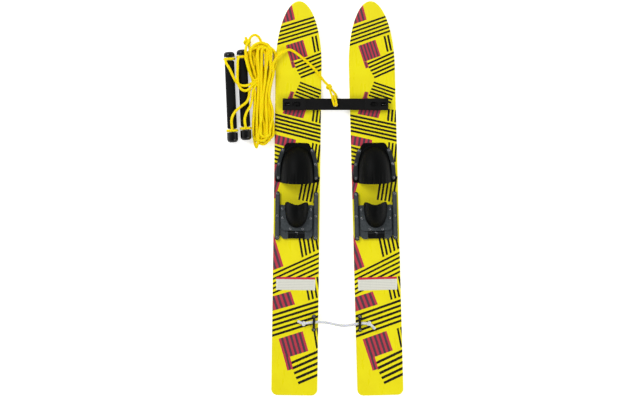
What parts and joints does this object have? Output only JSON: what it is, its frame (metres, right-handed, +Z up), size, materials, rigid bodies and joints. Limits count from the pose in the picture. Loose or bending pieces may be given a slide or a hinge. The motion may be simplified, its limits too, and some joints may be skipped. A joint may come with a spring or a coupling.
{
  "type": "water ski pair",
  "caption": "Pair of beginners' water skis on a clip-off spreader bar, with adjustable rubber bindings, tail cord and a folded tow rope with handles.",
  "frame": {"origin": "on the floor, under the middle of the object's bounding box without its ropes", "axes": "+Z up from the floor, +Y along the skis towards their tips, +X towards the right ski"},
  "size_m": [0.535, 1.1708, 0.0884],
  "materials": {
    "ski_board": "laminated board with a gloss printed top sheet",
    "fin_plastic": "moulded, satin",
    "binding_rubber": "moulded, soft satin",
    "binding_plastic": "moulded, satin with fine texture",
    "lever_plastic": "moulded, satin",
    "loop_plastic": "moulded, satin",
    "bar_plastic": "moulded, semi-gloss",
    "screw_steel": "stainless, plain",
    "spring_steel": "stainless, plain",
    "handle_tube": "drawn tube",
    "grip_foam": "matte foam sleeve",
    "cap_plastic": "gloss moulded",
    "tow_rope": "braided polypropylene",
    "tail_cord": "braided white cord"
  },
  "bodies": {
    "bar_and_rope": {"spreader_bar": "bar_plastic", "left_end_plug": "bar_plastic", "right_end_plug": "bar_plastic", "left_latch_spring": "spring_steel", "right_latch_spring": "spring_steel", "handle_a_core": "handle_tube", "handle_a_grip": "grip_foam", "handle_a_short_cap": "cap_plastic", "handle_a_long_cap": "cap_plastic", "handle_b_core": "handle_tube", "handle_b_grip": "grip_foam", "handle_b_short_cap": "cap_plastic", "handle_b_long_cap": "cap_plastic", "bridle_a": "tow_rope", "bridle_b": "tow_rope", "tow_rope_hank": "tow_rope", "tow_rope_lead": "tow_rope", "tow_eye": "tow_rope", "tail_cord": "tail_cord", "tail_knot_left": "tail_cord", "tail_knot_right": "tail_cord"},
    "left_ski": {"left_ski": "ski_board", "left_fin": "fin_plastic", "left_deck_screws": "screw_steel", "left_toe_rubber": "binding_rubber", "left_toe_strip_inner": "binding_plastic", "left_toe_strip_outer": "binding_plastic", "left_rail_inner": "binding_plastic", "left_rail_outer": "binding_plastic", "left_rack": "binding_plastic", "left_bar_stud": "bar_plastic", "left_tail_loop": "loop_plastic"},
    "left_heel": {"left_heel_plate": "binding_plastic", "left_heel_rubber": "binding_rubber", "left_heel_frame": "binding_plastic", "left_heel_screws": "screw_steel", "left_lever_pin": "spring_steel", "left_lever_spring": "spring_steel"},
    "left_lever": {"left_lock_lever": "lever_plastic"},
    "left_latch": {"left_bar_latch": "lever_plastic"},
    "right_ski": {"right_ski": "ski_board", "right_fin": "fin_plastic", "right_deck_screws": "screw_steel", "right_toe_rubber": "binding_rubber", "right_toe_strip_inner": "binding_plastic", "right_toe_strip_outer": "binding_plastic", "right_rail_inner": "binding_plastic", "right_rail_outer": "binding_plastic", "right_rack": "binding_plastic", "right_bar_stud": "bar_plastic", "right_tail_loop": "loop_plastic"},
    "right_heel": {"right_heel_plate": "binding_plastic", "right_heel_rubber": "binding_rubber", "right_heel_frame": "binding_plastic", "right_heel_screws": "screw_steel", "right_lever_pin": "spring_steel", "right_lever_spring": "spring_steel"},
    "right_lever": {"right_lock_lever": "lever_plastic"},
    "right_latch": {"right_bar_latch": "lever_plastic"}
  },
  "joints": [
    {"name": "left_ski_pivot", "type": "hinge", "parent": "bar_and_rope", "child": "left_ski", "pos_m": [-0.0465, 0.28039, 0.01692], "axis": [0, 0.036, 0.9994], "range_deg": [-0.8, 0.7]},
    {"name": "left_heel_slide", "type": "slide", "parent": "left_ski", "child": "left_heel", "axis": [0.0131, 0.9993, -0.036], "range_m": [0, 0.04]},
    {"name": "left_lever_hinge", "type": "hinge", "parent": "left_heel", "child": "left_lever", "pos_m": [-0.05148, -0.09978, 0.0318], "axis": [-0.9999, 0.0131, -0.0005], "range_deg": [0, 30], "stiffness_Nm_per_rad": 0.03, "springref_deg": -22.92, "deforming": ["left_lever_spring"]},
    {"name": "left_latch_slide", "type": "slide", "parent": "bar_and_rope", "child": "left_latch", "axis": [-1, 0, 0], "range_m": [0, 0.0082], "stiffness_N_per_m": 250, "springref_m": -0.004, "deforming": ["left_latch_spring"]},
    {"name": "right_ski_pivot", "type": "hinge", "parent": "bar_and_rope", "child": "right_ski", "pos_m": [0.1755, 0.28039, 0.01692], "axis": [0, 0.036, 0.9994], "range_deg": [-1.45, 0.1]},
    {"name": "right_heel_slide", "type": "slide", "parent": "right_ski", "child": "right_heel", "axis": [-0.0262, 0.999, -0.036], "range_m": [0, 0.04]},
    {"name": "right_lever_hinge", "type": "hinge", "parent": "right_heel", "child": "right_lever", "pos_m": [0.18546, -0.09969, 0.0318], "axis": [-0.9997, -0.0262, 0.0009], "range_deg": [0, 30], "stiffness_Nm_per_rad": 0.03, "springref_deg": -22.92, "deforming": ["right_lever_spring"]},
    {"name": "right_latch_slide", "type": "slide", "parent": "bar_and_rope", "child": "right_latch", "axis": [1, 0, 0], "range_m": [0, 0.0082], "stiffness_N_per_m": 250, "springref_m": -0.004, "deforming": ["right_latch_spring"]}
  ]
}
